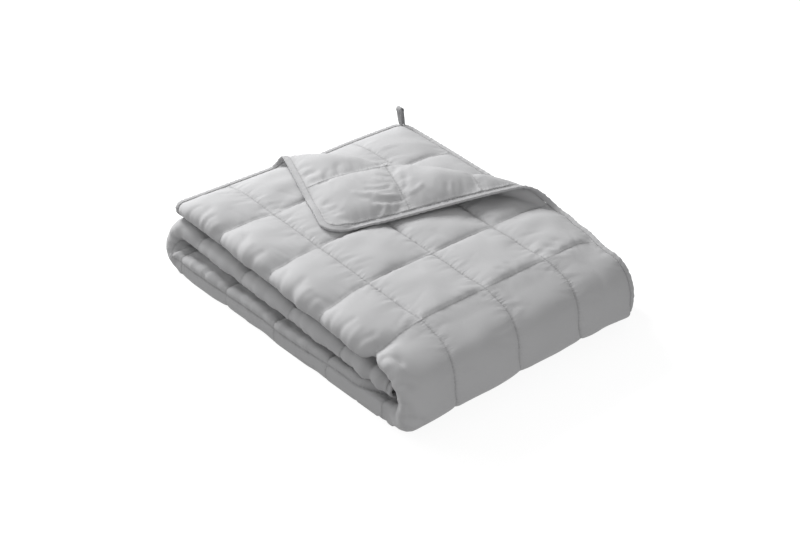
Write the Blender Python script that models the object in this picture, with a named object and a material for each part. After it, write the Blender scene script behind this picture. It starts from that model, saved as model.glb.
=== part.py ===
# Weighted blanket: folded in half lengthwise, then rolled up in three, with one corner of the top
# sheet turned back. One quilted body, a sewn binding all round it and a loop of tape at a corner.
#
# The cloth is laid out flat first. s runs along it from the end edge, w across it from the seam down
# its middle. The strip is the blanket folded in half: its outer sheet has w > 0, its inner sheet w < 0.
import math

import bpy
import numpy as np

# Driving sizes, in metres
POCKET = 0.127            # side of a stitched pocket
ACROSS, ALONG = 8, 14     # pockets across and along the open blanket
ROW_EXTRA = {0: 0.012, 4: 0.094, 9: 0.031, 13: -0.016}   # rows along the length that are longer or shorter
SHEET_STEP = 0.0228       # from one sheet of the pile to the next
SEAM_HALF = 0.0015        # half the thickness on a seam
CROWN = 0.0090            # rise of a pocket's crown over its seams, on each side
FLOOR_CROWN = 0.022       # the same before the floor presses the lowest sheet flat
FLOOR_SEAMS = 0.40        # share of that by which the seams of the lowest sheet are pressed down too
SIDE_SEAMS = 0.45         # and the share more where that sheet stands up at the folded side
TURN_SEAMS = 0.60         # and where it comes down from the right fold
TURN_ABOVE = 0.065        # which starts this far before it touches
LOBE = 0.009              # how much fuller the bottom strip's upper pockets are at the folded side
SEAM_TUCK = 0.0065        # how far the middle seam is drawn in there, and the pockets below it
SEAM_REACH = 0.006        # how far above the seam this is felt
CROSS_TUCK = 0.0045       # how far the crossing seams are drawn in at the folded side of the strips above
CORNER_TUCK = 0.0045      # and how much further the one at the right fold
CROSS_REACH = 0.014       # how far along the strip this is felt
FLOOR_LINE, FLOOR_SLANT = -0.506, 0.070   # where the folded side meets the floor: y at the left end, dy/dx
CORNER_ROUND = 0.020      # radius of the blanket's corners
EDGE_DROOP = 0.009        # how far the thin edges sink
BINDING_WIDE, BINDING_HALF = 0.0095, 0.0023
CLEAR = 0.0003            # gap between pieces that are sewn together
INNER_SLIDE = 0.026       # how far the inner sheet's end slides out past the outer one's
REST_CENTRE = (0.2941, -0.2345)   # middle of the pile's footprint, as laid out from the end edge

# The strip's path, seen from the side: each leg is a straight run, or quarter turns about a radius.
# seam_past: how far the middle seam lies past the bullnose's tip, towards the inner sheet
# inner, outer: how much of its width each sheet keeps; edge_in: how far the outer sheet's free edge is
# drawn in besides; skew: sideways drift. All hold at the leg's end.
LEGS = (
    dict(name="start", run=0.0, radius=0.0, quarters=0,
         seam_past=0.022, inner=0.963, outer=1.000, edge_in=0.000, skew=0.000),
    dict(name="top, left", run=0.430, radius=0.0, quarters=0,
         seam_past=0.022, inner=0.938, outer=1.000, edge_in=0.000, skew=0.000),
    dict(name="top, middle", run=0.045, radius=0.0, quarters=0,
         seam_past=0.022, inner=0.925, outer=0.993, edge_in=0.006, skew=0.000),
    dict(name="top, right", run=0.082, radius=0.0, quarters=0,
         seam_past=0.022, inner=0.900, outer=0.985, edge_in=0.020, skew=0.000),
    dict(name="fold, upper", run=0.0, radius=2.0 * SHEET_STEP, quarters=1,
         seam_past=0.035, inner=0.850, outer=0.976, edge_in=0.007, skew=-0.014),
    dict(name="fold, lower", run=0.0, radius=2.0 * SHEET_STEP, quarters=1,
         seam_past=0.033, inner=0.870, outer=1.070, edge_in=0.038, skew=0.002),
    dict(name="bottom, front", run=0.090, radius=0.0, quarters=0,
         seam_past=0.008, inner=0.965, outer=1.000, edge_in=0.010, skew=0.017),
    dict(name="bottom, right", run=0.180, radius=0.0, quarters=0,
         seam_past=0.003, inner=0.975, outer=1.000, edge_in=0.004, skew=0.010),
    dict(name="bottom, left", run=0.273, radius=0.0, quarters=0,
         seam_past=0.003, inner=1.015, outer=1.010, edge_in=0.000, skew=-0.008),
    dict(name="left turn", run=0.0, radius=1.0 * SHEET_STEP, quarters=2,
         seam_past=0.018, inner=0.935, outer=1.000, edge_in=0.000, skew=0.000),
    dict(name="middle", run=0.5411, radius=0.0, quarters=0,
         seam_past=0.020, inner=0.960, outer=0.990, edge_in=0.000, skew=0.010),
)
TURN_PITCH = 0.30 * SHEET_STEP    # the pockets keep their length this far outside the strip's middle

# How far the crossing seams slip along the strip where they reach the folded side of its top
SIDE_SLIP = dict(at=(0.000, 0.139, 0.266, 0.393, 0.520, 0.640),
                 slip=(0.000, -0.008, 0.006, 0.014, 0.009, 0.000))
SIDE_REACH = 0.9 * POCKET         # and how far from the side the slip is felt

# The turned-back corner: its crease leaves the end edge at one point and the long edge at the other.
CREASE_AT_END, CREASE_AT_SIDE = 2.05 * POCKET, 2.80 * POCKET + ROW_EXTRA[0]
CREASE_RADIUS = (0.0135, 0.0190)  # at the end edge and at the long edge
FLAP_REST = 0.0150                # from the flap's middle down to the middle of the sheet it lies on
FLAP_CLEAR, FLAP_THIN = 0.0022, 0.0042

# The loop of tape
TAPE_WIDE, TAPE_THICK = 0.012, 0.0014
LOOP_TALL, LOOP_FOOT, LOOP_BELLY = 0.033, 0.0026, 0.0048   # foot and belly: half the width of the loop
LOOP_LEAN = 0.20                  # how far it leans past the end edge for each unit of height
LOOP_SEAT = 0.0033                # from the middle of the cloth up to the tape's foot

# Grid lines inside a pocket, as parts of its side
PLAIN = (0.0, 0.25, 0.75)
FULL = (0.0, 0.2, 0.5, 0.8)
HALF_ROUND = math.pi * SHEET_STEP / 4.0   # cloth from the bullnose's tip to the flat of a sheet
ROW_SEAMS = np.cumsum([0.0] + [POCKET + ROW_EXTRA.get(k, 0.0) for k in range(ALONG)])
WIDE, LONG = ACROSS * POCKET, float(ROW_SEAMS[-1])


def smooth(x):
    x = np.clip(x, 0.0, 1.0)
    return x * x * (3.0 - 2.0 * x)


def leg_length(leg):
    return leg["run"] + 0.5 * math.pi * leg["quarters"] * (leg["radius"] + TURN_PITCH)


LEG_ENDS = np.cumsum([leg_length(leg) for leg in LEGS])


def leg_span(name):
    k = [leg["name"] for leg in LEGS].index(name)
    return LEG_ENDS[k - 1], LEG_ENDS[k]


def along_legs(s, column):
    """A column of the table, blended smoothly along the strip."""
    out = np.full_like(s, LEGS[0][column])
    for before, leg, start, end in zip(LEGS, LEGS[1:], LEG_ENDS, LEG_ENDS[1:]):
        out += (leg[column] - before[column]) * smooth((s - start) / (end - start))
    return out


def strip_path(s):
    """Where the strip's middle lies at s, seen from the side: x, z and its heading."""
    x0, z0, heading = 0.0, 5.0 * SHEET_STEP, 0.0
    x, z, angle = x0 + np.minimum(s, 0.0), np.full_like(s, z0), np.zeros_like(s)
    for leg, start, end in zip(LEGS[1:], LEG_ENDS, LEG_ENDS[1:]):
        share, radius = np.minimum((s - start) / (end - start), 1.0), leg["radius"]
        reach, turned = share * leg["run"], heading - 0.5 * math.pi * leg["quarters"] * share
        cx, cz = x0 + radius * math.sin(heading), z0 - radius * math.cos(heading)
        nx = cx - radius * np.sin(turned) + reach * math.cos(heading)
        nz = cz + radius * np.cos(turned) + reach * math.sin(heading)
        x, z, angle = (np.where(s > start, new, old) for new, old in ((nx, x), (nz, z), (turned, angle)))
        left = heading - 0.5 * math.pi * leg["quarters"]
        x0 = cx - radius * math.sin(left) + leg["run"] * math.cos(heading)
        z0 = cz + radius * math.cos(left) + leg["run"] * math.sin(heading)
        heading = left
    past = np.maximum(s - LEG_ENDS[-1], 0.0)
    return x + past * np.cos(angle), z + past * np.sin(angle), angle


def pocket_share(s):
    """How far s lies along its own pocket, 0 to 1."""
    return np.mod(np.interp(s, ROW_SEAMS, np.arange(ALONG + 1.0)), 1.0)


def puff(s, w):
    """How full a pocket is at a point: 0 on its seams, 1 at its crown."""
    a, b = pocket_share(s), np.mod(w / POCKET, 1.0)
    return np.sqrt(np.clip(16.0 * a * (1.0 - a) * b * (1.0 - b), 0.0, 1.0))


def crease_radius(s, w):
    """The crease's frame for a point of the outer sheet: distance along it, past it, and its radius."""
    run_x, run_y = CREASE_AT_SIDE, CREASE_AT_END
    size = math.hypot(run_x, run_y)
    ex, ey = run_x / size, run_y / size
    px, py = s, w - 0.5 * WIDE + CREASE_AT_END
    along, past = px * ex + py * ey, -px * ey + py * ex
    share = np.clip(along / size, 0.0, 1.0)
    radius = CREASE_RADIUS[0] + (CREASE_RADIUS[1] - CREASE_RADIUS[0]) * share
    past = np.where((w > 0.0) & (s < 3.5 * POCKET), past, -1.0)
    return ex, ey, along, past, radius


def fade(s, start, end):
    """1 between start and end, falling to 0 a little past them."""
    return smooth((s - start + 0.02) / 0.03) * smooth((end + 0.02 - s) / 0.03)


def lowest(s):
    """1 along the strip that lies on the floor, 0 elsewhere."""
    return fade(s, leg_span("bottom, front")[0], leg_span("bottom, left")[1])


def half_thickness(s, w):
    """How far the two faces stand off the cloth's middle: outward face, inward face."""
    full = puff(s, w)
    tip = w - along_legs(s, "seam_past")
    bull = smooth(1.6 - np.abs(tip) / HALF_ROUND)
    left = fade(s, *leg_span("left turn")) * smooth(-tip / HALF_ROUND)
    on_floor = lowest(s) * smooth(tip / HALF_ROUND)
    lobe = lowest(s) * smooth(-w / SEAM_REACH) * smooth((tip / HALF_ROUND + 1.5) / 0.9)
    _, _, _, past, radius = crease_radius(s, w)
    rolled = smooth(1.5 - np.abs(past) / (0.5 * math.pi * radius))
    crown = CROWN + (FLOOR_CROWN - CROWN) * on_floor + LOBE * lobe
    touch = leg_span("bottom, front")[0]
    coming = fade(s, touch - TURN_ABOVE, touch) * smooth(tip / HALF_ROUND)
    pressed = on_floor * (FLOOR_SEAMS + SIDE_SEAMS * bull) + TURN_SEAMS * coming
    full = full + (1.0 - full) * np.minimum(pressed, 0.9)
    outward = SEAM_HALF + full * crown * (1.0 - 0.45 * left - 0.45 * rolled)
    inward = SEAM_HALF + full * CROWN * (1.0 - 0.45 * bull - 0.3 * rolled)
    return outward, inward


def tuck(s, w):
    """How far the cloth is drawn in at the folded side: the bottom strip's below its upper pockets, the
    others' where a crossing seam goes round."""
    below = smooth((1.6 * HALF_ROUND - w) / (1.2 * HALF_ROUND))
    below = np.where(w > 0.0, below, np.exp(-((w / SEAM_REACH) ** 2)))
    from_seam = np.abs(s[..., None] - ROW_SEAMS[1:-1]).min(-1)
    from_tip = np.abs(w - along_legs(s, "seam_past")) / POCKET
    cross = CROSS_TUCK + CORNER_TUCK * np.exp(-(((s - ROW_SEAMS[4]) / (2.0 * CROSS_REACH)) ** 2))
    cross = cross * smooth((0.55 - from_tip) / 0.4) * np.exp(-((from_seam / CROSS_REACH) ** 2))
    return SEAM_TUCK * lowest(s) * below + cross * (1.0 - lowest(s))


def droop(s, w):
    edge = np.minimum(0.5 * WIDE - np.abs(w), s)
    return EDGE_DROOP * np.clip(1.0 - edge / (0.6 * POCKET), 0.0, 1.0) ** 2


def fold(s, w, off):
    """The flat cloth's point (s, w), off metres from its middle outward, in the folded pile."""
    seam_past = along_legs(s, "seam_past")
    r = 0.5 * SHEET_STEP
    off = off - tuck(s, w)
    tip = w - seam_past
    inner = smooth(-tip / (0.45 * WIDE))
    slid = s - INNER_SLIDE * inner * np.clip(1.0 - s / leg_span("top, right")[1], 0.0, 1.2)
    slip = np.interp(s, SIDE_SLIP["at"], SIDE_SLIP["slip"])
    slid = slid + slip * smooth(1.1 - np.abs(tip) / SIDE_REACH)
    # across the strip: two flat sheets joined by a bullnose
    angle = np.clip(tip / r, -0.5 * math.pi, 0.5 * math.pi)
    keep = np.where(tip < 0.0, along_legs(s, "inner"), along_legs(s, "outer"))
    drawn = along_legs(s, "edge_in") * np.clip((w - 0.5 * WIDE) / POCKET + 1.0, 0.0, 1.0) ** 2
    flat = np.maximum(np.abs(tip) - HALF_ROUND, 0.0) * keep - drawn
    across = flat - (r + off) * np.cos(angle)
    m = (r + off) * np.sin(angle)
    y = across - (0.5 * WIDE - seam_past - HALF_ROUND) + along_legs(s, "skew")
    x, z, heading = strip_path(slid)
    x, z = x - m * np.sin(heading), z + m * np.cos(heading)
    # the corner turned back over the top sheet
    ex, ey, along, past, radius = crease_radius(s, w)
    reach = past + 0.5 * math.pi * radius
    theta = np.clip(reach / radius, 0.0, math.pi)
    over = np.maximum(reach - math.pi * radius, 0.0)
    q = np.where(theta < math.pi, radius * np.sin(theta), -over) - 0.5 * math.pi * radius
    settle = smooth(over / (1.7 * POCKET))
    rise = radius * (1.0 - np.cos(theta))
    rise = np.where(over > 0.0, rise + (FLAP_REST - 2.0 * radius) * settle, rise)
    side = q - off * np.sin(theta)
    turned = reach > 0.0
    x = np.where(turned, along * ex - side * ey, x)
    y = np.where(turned, along * ey + side * ex - CREASE_AT_END, y)
    z = np.where(turned, 5.5 * SHEET_STEP + rise + off * np.cos(theta), z)
    return x, y, z - droop(s, w)


def top_sheet_height(x, y):
    """The upper face of the top sheet where the flap can lie on it."""
    s, w = np.clip(x, 0.0, 4.0 * POCKET), np.clip(0.5 * WIDE + y, 0.0, 0.5 * WIDE)
    return 5.5 * SHEET_STEP + SEAM_HALF + CROWN * puff(s, w) - droop(s, w)


def both_faces(s, w, outward, inward):
    """The outward and inward faces over flat points, kept off the floor and off the sheet below."""
    x1, y1, z1 = fold(s, w, outward)
    x2, y2, z2 = fold(s, w, -inward)
    _, _, _, past, radius = crease_radius(s, w)
    over = past > 0.5 * math.pi * radius
    side = FLOOR_LINE + FLOOR_SLANT * x1
    y1 += (np.maximum(y1, side) - y1) * lowest(s) * smooth((w + 0.002) / 0.008)
    bed = top_sheet_height(x1, y1) + FLAP_CLEAR
    z1 = np.where(over, np.maximum(z1, bed), np.maximum(z1, 0.0))
    z2 = np.where(over, np.maximum(z2, z1 + FLAP_THIN), np.maximum(z2, 0.002))
    return np.stack([x1, y1, z1], -1), np.stack([x2, y2, z2], -1)


def round_corner(s, w, out=0.0):
    """Draws the flat cloth's square corners in to round ones, and moves a point out past the edge."""
    cs = np.clip(s, CORNER_ROUND, LONG - CORNER_ROUND)
    cw = np.clip(w, CORNER_ROUND - 0.5 * WIDE, 0.5 * WIDE - CORNER_ROUND)
    vs, vw = s - cs, w - cw
    size = np.hypot(vs, vw)
    safe = np.maximum(size, 1e-9)
    k = np.where(size > 0.0, np.maximum(np.abs(vs), np.abs(vw)) / safe + out / safe, 1.0)
    return cs + vs * k, cw + vw * k


def grid_lines():
    """The grid's lines along and across, closer together where the cloth turns."""
    rows = [FULL, FULL, (0.0, 0.22, 0.40, 0.52, 0.64, 0.76, 0.88), (0.0, 0.10, 0.20, 0.34, 0.58, 0.82),
            (0.0, 0.10, 0.19, 0.28, 0.37, 0.46, 0.55, 0.64, 0.73, 0.82, 0.91), (0.0, 0.25, 0.50, 0.78),
            PLAIN, PLAIN, PLAIN, (0.0, 0.09, 0.18, 0.27, 0.36, 0.45, 0.54, 0.63, 0.74, 0.87),
            PLAIN, PLAIN, PLAIN, PLAIN]
    columns = [PLAIN, PLAIN, PLAIN, (0.0, 0.25, 0.55, 0.79, 0.86, 0.93, 0.965),
               (0.0, 0.07, 0.14, 0.21, 0.30, 0.5, 0.8), (0.0, 0.25, 0.5, 0.70, 0.78, 0.86, 0.93),
               (0.0, 0.07, 0.15, 0.30, 0.52, 0.76), FULL]
    along = [np.interp(k + part, range(ALONG + 1), ROW_SEAMS)
             for k, parts in enumerate(rows) for part in parts]
    across = [(k - 0.5 * ACROSS + part) * POCKET
              for k, parts in enumerate(columns) for part in parts]
    return np.array(along + [LONG]), np.array(across + [0.5 * WIDE])


def make_object(name, points, faces, colour, roughness):
    mesh = bpy.data.meshes.new(name)
    points = points - np.array([*REST_CENTRE, 0.0])
    mesh.from_pydata([tuple(p) for p in points.tolist()], [], faces)
    mesh.validate()
    mesh.shade_smooth()
    mesh.set_sharp_from_angle(angle=math.radians(50.0))
    material = bpy.data.materials.new(name)
    material.use_nodes = True
    shader = material.node_tree.nodes["Principled BSDF"]
    shader.inputs["Base Color"].default_value = (*colour, 1.0)
    shader.inputs["Roughness"].default_value = roughness
    shader.inputs["Metallic"].default_value = 0.0
    mesh.materials.append(material)
    item = bpy.data.objects.new(name, mesh)
    bpy.context.scene.collection.objects.link(item)
    return item


def make_quilt():
    rows, columns = grid_lines()
    s, w = np.meshgrid(rows, columns, indexing="ij")
    outward, inward = half_thickness(s, w)
    rs, rw = round_corner(s, w)
    out, back = both_faces(rs, rw, outward, inward)
    n, m = s.shape
    points = np.concatenate([out.reshape(-1, 3), back.reshape(-1, 3)])
    at = np.arange(n * m).reshape(n, m)
    faces = []
    for i in range(n - 1):
        for j in range(m - 1):
            a, b, c, d = (int(v) for v in (at[i, j], at[i + 1, j], at[i + 1, j + 1], at[i, j + 1]))
            e, f, g, h = a + n * m, b + n * m, c + n * m, d + n * m
            if (i + j) % 2 or (s[i, j] < 3.5 * POCKET and w[i, j] > POCKET):
                faces += [(a, b, c), (a, c, d), (e, g, f), (e, h, g)]
            else:
                faces += [(a, b, d), (b, c, d), (e, h, f), (f, h, g)]
    rim = rim_indices(n, m)
    for p, q in zip(rim, rim[1:] + rim[:1]):
        a, b = int(at[p]), int(at[q])
        faces += [(b, a, b + n * m), (a, a + n * m, b + n * m)]
    return make_object("quilt", points, faces, (0.40, 0.40, 0.405), 0.95)


def rim_indices(n, m):
    """The grid's outer points in order, once round."""
    return ([(i, 0) for i in range(n - 1)] + [(n - 1, j) for j in range(m - 1)]
            + [(i, m - 1) for i in range(n - 1, 0, -1)] + [(0, j) for j in range(m - 1, 0, -1)])


def make_binding():
    """A flat tube of four sides beside the quilt's edge, all the way round."""
    rows, columns = grid_lines()
    rim = rim_indices(len(rows), len(columns))
    s = np.array([rows[i] for i, _ in rim])
    w = np.array([columns[j] for _, j in rim])
    half = np.full_like(s, BINDING_HALF)
    ring = []
    for out in (CLEAR, CLEAR + BINDING_WIDE):
        bs, bw = round_corner(s, w, out)
        ring += list(both_faces(bs, bw, half, half))
    points = np.concatenate([ring[0], ring[1], ring[3], ring[2]])
    n = len(rim)
    faces = []
    for k in range(n):
        nxt = (k + 1) % n
        for side in range(4):
            a, b = side * n, ((side + 1) % 4) * n
            faces += [(a + k, b + nxt, b + k), (a + k, a + nxt, b + nxt)]
    return make_object("binding", points, faces, (0.375, 0.375, 0.38), 0.9)


def make_loop():
    """A teardrop of tape that stands on the binding at the lower sheet's corner."""
    spot_s, spot_w = round_corner(np.array([0.0]), np.array([-0.5 * WIDE]), 0.5 * BINDING_WIDE)
    foot = np.array([float(v[0]) for v in fold(spot_s, spot_w, np.array([-LOOP_SEAT]))])
    start = math.radians(-38.0)
    arc = [(LOOP_BELLY * math.cos(a), LOOP_TALL - LOOP_BELLY + LOOP_BELLY * math.sin(a))
           for a in np.linspace(start, math.pi - start, 13)]
    path = np.array([(LOOP_FOOT, 0.0), (LOOP_FOOT + 0.0006, 0.006)] + arc
                    + [(-LOOP_FOOT - 0.0006, 0.006), (-LOOP_FOOT, 0.0)])
    step = np.gradient(path, axis=0)
    step /= np.linalg.norm(step, axis=1, keepdims=True)
    normal = np.stack([step[:, 1], -step[:, 0]], 1)
    points = []
    for (side, high), (ny, nz) in zip(path, normal):
        for across, thick in ((-1, -1), (1, -1), (1, 1), (-1, 1)):
            points.append((foot[0] + 0.5 * across * TAPE_WIDE - LOOP_LEAN * high,
                           foot[1] + side + 0.5 * thick * TAPE_THICK * ny,
                           foot[2] + max(high + 0.5 * thick * TAPE_THICK * nz, 0.0)))
    faces = [(0, 3, 2), (0, 2, 1)]
    last = 4 * (len(path) - 1)
    faces += [(last, last + 1, last + 2), (last, last + 2, last + 3)]
    for k in range(len(path) - 1):
        for side in range(4):
            a, b = 4 * k + side, 4 * k + (side + 1) % 4
            faces += [(a, b, b + 4), (a, b + 4, a + 4)]
    return make_object("corner_loop", np.array(points), faces, (0.26, 0.26, 0.265), 0.85)


def main():
    for item in list(bpy.data.objects):
        bpy.data.objects.remove(item, do_unlink=True)
    make_quilt()
    make_binding()
    make_loop()


main()
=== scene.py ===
import math

import bpy
import numpy as np
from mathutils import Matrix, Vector


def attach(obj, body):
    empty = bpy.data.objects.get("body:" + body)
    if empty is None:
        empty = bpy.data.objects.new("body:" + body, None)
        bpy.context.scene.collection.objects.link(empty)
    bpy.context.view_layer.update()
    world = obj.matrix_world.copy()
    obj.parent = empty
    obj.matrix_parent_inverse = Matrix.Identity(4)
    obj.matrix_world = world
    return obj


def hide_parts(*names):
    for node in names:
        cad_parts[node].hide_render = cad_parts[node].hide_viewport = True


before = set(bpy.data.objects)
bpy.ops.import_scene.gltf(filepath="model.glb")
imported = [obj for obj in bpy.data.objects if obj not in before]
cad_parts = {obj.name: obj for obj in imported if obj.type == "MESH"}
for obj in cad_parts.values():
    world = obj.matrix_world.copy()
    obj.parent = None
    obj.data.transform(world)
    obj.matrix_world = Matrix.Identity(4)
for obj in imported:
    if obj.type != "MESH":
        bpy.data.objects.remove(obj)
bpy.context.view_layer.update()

dice = np.random.default_rng(11)
print("frame loaded:", ", ".join(sorted(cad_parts)))

# The open blanket. s runs along it from the end edge, w across it from the seam down its middle.
blanket = dict(
    pocket=0.127, across=8, along=14,
    longerRows={0: 0.012, 4: 0.094, 9: 0.031, 13: -0.016},   # rows longer or shorter than the rest
    foldRow=4,              # the row that goes over the right fold
    seamHalf=0.0015,        # half the thickness on a seam
    crown=0.0092,           # rise of a pocket over its seams
    floorCrown=0.022,       # the same before the floor presses the lowest sheet flat
    floorSeams=0.40,        # share of that by which the lowest sheet's seams are pressed down too
    sideSeams=0.45,         # the share more where that sheet stands up at the folded side
    turnSeams=0.60, turnAbove=0.065,    # and where it comes down from the right fold, from this far above
    lobe=0.009,             # how much fuller the bottom strip's upper pockets are at the folded side
    seamTuck=0.0065, seamReach=0.006,   # how far the middle seam is drawn in there, and how far above it
    tuckEnds=(1.6, 1.2),    # half rounds below it where that has faded out, and over how many
    crossTuck=0.0045, crossReach=0.014, # the same for the crossing seams of the strips above
    crossEnds=(0.55, 0.40), # pockets from the tip where that has faded out, and over how many
    cornerTuck=0.0045,      # and how much further the one at the right fold is drawn in
    cornerRound=0.020,      # radius of the open blanket's corners
    edgeDroop=0.009, droopFrom=0.6,     # how far the thin edges sink, from this many pockets in
)
pocket, seamHalf = blanket["pocket"], blanket["seamHalf"]
wide = blanket["across"] * pocket
halfWide = 0.5 * wide
rowSeams = np.cumsum([0.0] + [pocket + blanket["longerRows"].get(k, 0.0) for k in range(blanket["along"])])
columnSeams = (np.arange(blanket["across"] + 1) - 0.5 * blanket["across"]) * pocket
long = float(rowSeams[-1])
foldAt = rowSeams[blanket["foldRow"]]      # the last crossing seam before the right fold

# How it is piled: folded in half, then rolled up in three.
pile = dict(
    step=0.0228,            # from one sheet to the next
    innerSlide=0.026,       # how far the inner sheet's end slides out past the outer one's
    slideOver=0.45,         # share of the width over which that grows
    pitch=0.30,             # the pockets keep their length this share of a step outside the strip's middle
    centre=(0.2941, -0.2345),             # what comes to lie on the frame's upright axis
    floorLine=-0.506, floorSlant=0.070,   # where the folded side meets the floor
    floorEnds=(0.002, 0.008),             # how far above the middle seam that starts, and over how much
    floorThick=0.002,       # least height of the lowest sheet's upper face
    sideAt=(0.000, 0.139, 0.266, 0.393, 0.520, 0.640),        # how far the crossing seams slip along
    sideSlip=(0.000, -0.008, 0.006, 0.014, 0.009, 0.000),     # at the folded side
    slipEnds=(1.1, 0.9),    # how that eases off, in pockets from the tip
    clearOfNext=0.0109,     # no face stands further than this off its cloth's middle between two sheets
)
step = pile["step"]
halfRound = math.pi * step / 4.0       # cloth from the folded side's tip to the flat of a sheet

# Each leg of the strip's path is a straight run, or quarter turns about a radius. The other columns hold
# at the leg's end: how far the middle seam lies past the tip, how much of its width each sheet keeps, how
# far the outer sheet's free edge is drawn in, and the sideways drift.
legColumns = ("name", "run", "radius", "quarters", "seamPast", "inner", "outer", "edgeIn", "skew")
legRows = (
    ("start", 0.0, 0.0, 0, 0.022, 0.963, 1.000, 0.000, 0.000),
    ("top, left", 0.430, 0.0, 0, 0.022, 0.938, 1.000, 0.000, 0.000),
    ("top, middle", 0.045, 0.0, 0, 0.022, 0.925, 0.993, 0.006, 0.000),
    ("top, right", 0.082, 0.0, 0, 0.022, 0.900, 0.985, 0.020, 0.000),
    ("fold, upper", 0.0, 2.0 * step, 1, 0.035, 0.850, 0.976, 0.007, -0.014),
    ("fold, lower", 0.0, 2.0 * step, 1, 0.033, 0.870, 1.070, 0.038, 0.002),
    ("bottom, front", 0.090, 0.0, 0, 0.008, 0.965, 1.000, 0.010, 0.017),
    ("bottom, right", 0.180, 0.0, 0, 0.003, 0.975, 1.000, 0.004, 0.010),
    ("bottom, left", 0.273, 0.0, 0, 0.003, 1.015, 1.010, 0.000, -0.008),
    ("left turn", 0.0, 1.0 * step, 2, 0.018, 0.935, 1.000, 0.000, 0.000),
    ("middle", 0.5411, 0.0, 0, 0.020, 0.960, 0.990, 0.000, 0.010),
)
legs = [dict(zip(legColumns, row)) for row in legRows]

# The turned-back corner of the top sheet.
flap = dict(
    # where its crease leaves the end edge and the long edge
    atEnd=2.05 * pocket, atSide=2.80 * pocket + blanket["longerRows"][0],
    radius=(0.0135, 0.0190),      # at the end edge and at the long edge
    within=3.5 * pocket,          # no cloth further along is turned back
    rest=0.0150,                  # from its middle down to the middle of the sheet it lies on
    settles=1.7 * pocket,         # cloth past the crease until it has come down to that
    liesOn=4.0 * pocket,          # length of the sheet under it
    clear=0.0022, thin=0.0042,    # least gap under it, least thickness
)
creaseLength = math.hypot(flap["atSide"], flap["atEnd"])
creaseX, creaseY = flap["atSide"] / creaseLength, flap["atEnd"] / creaseLength


def smooth(x):
    x = np.clip(x, 0.0, 1.0)
    return x * x * (3.0 - 2.0 * x)


def legLength(leg):
    return leg["run"] + 0.5 * math.pi * leg["quarters"] * (leg["radius"] + pile["pitch"] * step)


legEnds = np.cumsum([legLength(leg) for leg in legs])


def legSpan(name):
    k = [leg["name"] for leg in legs].index(name)
    return legEnds[k - 1], legEnds[k]


def alongLegs(s, column):
    # a column of the legs, blended smoothly along the strip
    out = np.full_like(s, legs[0][column])
    for before, leg, start, end in zip(legs, legs[1:], legEnds, legEnds[1:]):
        out += (leg[column] - before[column]) * smooth((s - start) / (end - start))
    return out


def stripPath(s):
    # where the strip's middle lies at s, seen from the side: x, z and its heading
    x0, z0, heading = 0.0, 5.0 * step, 0.0
    x, z, angle = x0 + np.minimum(s, 0.0), np.full_like(s, z0), np.zeros_like(s)
    for leg, start, end in zip(legs[1:], legEnds, legEnds[1:]):
        share, radius = np.minimum((s - start) / (end - start), 1.0), leg["radius"]
        reach, turned = share * leg["run"], heading - 0.5 * math.pi * leg["quarters"] * share
        cx, cz = x0 + radius * math.sin(heading), z0 - radius * math.cos(heading)
        nx = cx - radius * np.sin(turned) + reach * math.cos(heading)
        nz = cz + radius * np.cos(turned) + reach * math.sin(heading)
        x, z, angle = (np.where(s > start, new, old) for new, old in ((nx, x), (nz, z), (turned, angle)))
        left = heading - 0.5 * math.pi * leg["quarters"]
        x0 = cx - radius * math.sin(left) + leg["run"] * math.cos(heading)
        z0 = cz + radius * math.cos(left) + leg["run"] * math.sin(heading)
        heading = left
    past = np.maximum(s - legEnds[-1], 0.0)
    return x + past * np.cos(angle), z + past * np.sin(angle), angle


def creaseFrame(s, w):
    # beside the turned-back corner's crease: how far a point lies along it and past it, and its radius
    py = w - halfWide + flap["atEnd"]
    along, past = s * creaseX + py * creaseY, -s * creaseY + py * creaseX
    near, far = flap["radius"]
    radius = near + (far - near) * np.clip(along / creaseLength, 0.0, 1.0)
    return along, np.where((w > 0.0) & (s < flap["within"]), past, -1.0), radius


def fade(s, start, end):
    # 1 well between two places along the strip, 0 from a little way outside them
    early, over = 0.02, 0.03
    return smooth((s - start + early) / over) * smooth((end + early - s) / over)


def lowest(s):
    # 1 along the strip that lies on the floor, 0 elsewhere
    return fade(s, legSpan("bottom, front")[0], legSpan("bottom, left")[1])


def tuck(s, w):
    # how far the cloth is drawn in at the folded side: the bottom strip's below its upper pockets, the
    # others' where a crossing seam goes round
    end, over = blanket["tuckEnds"]
    below = smooth((end * halfRound - w) / (over * halfRound))
    below = np.where(w > 0.0, below, np.exp(-((w / blanket["seamReach"]) ** 2)))
    fromSeam = np.abs(s[..., None] - rowSeams[1:-1]).min(-1)
    fromTip = np.abs(w - alongLegs(s, "seamPast")) / pocket
    atFold = np.exp(-(((s - foldAt) / (2.0 * blanket["crossReach"])) ** 2))
    cross = blanket["crossTuck"] + blanket["cornerTuck"] * atFold
    end, over = blanket["crossEnds"]
    cross = cross * smooth((end - fromTip) / over) * np.exp(-((fromSeam / blanket["crossReach"]) ** 2))
    return blanket["seamTuck"] * lowest(s) * below + cross * (1.0 - lowest(s))


def droop(s, w):
    edge = np.minimum(halfWide - np.abs(w), s)
    return blanket["edgeDroop"] * np.clip(1.0 - edge / (blanket["droopFrom"] * pocket), 0.0, 1.0) ** 2


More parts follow.
